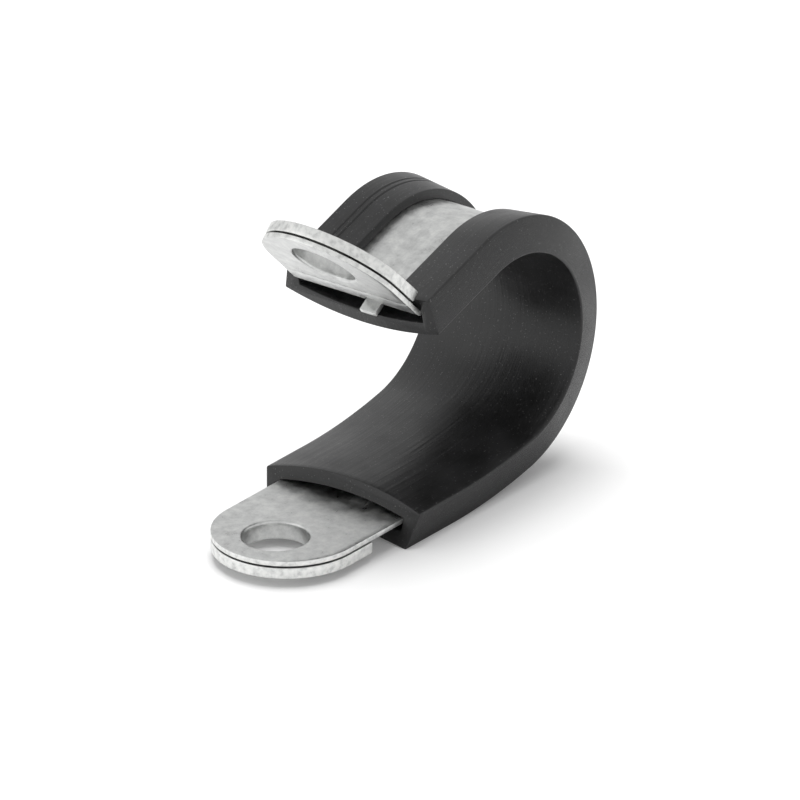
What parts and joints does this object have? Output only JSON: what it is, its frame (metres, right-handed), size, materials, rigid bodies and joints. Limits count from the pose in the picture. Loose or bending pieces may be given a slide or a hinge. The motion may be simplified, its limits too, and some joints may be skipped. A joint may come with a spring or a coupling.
{
  "type": "rubber-lined cable p clip",
  "caption": "Open P-shaped cable clip: a steel band curled into a loop, lined with black rubber channel, with a drilled and plated fixing ear at each end.",
  "frame": {"origin": "on the axis of the lower fixing hole, in the mounting face of the lower plate", "axes": "+X from the lower fixing hole towards the loop, +Y across the band, +Z along the lower hole and up from the mounting face"},
  "size_m": [0.0458, 0.0186, 0.034],
  "materials": {
    "steel": "bright zinc plate, smooth with fine scuffs",
    "rubber": "matte black extruded rubber"
  },
  "bodies": {
    "root": {"band": "steel", "liner": "rubber", "lower_plate": "steel", "upper_plate": "steel"}
  },
  "joints": []
}
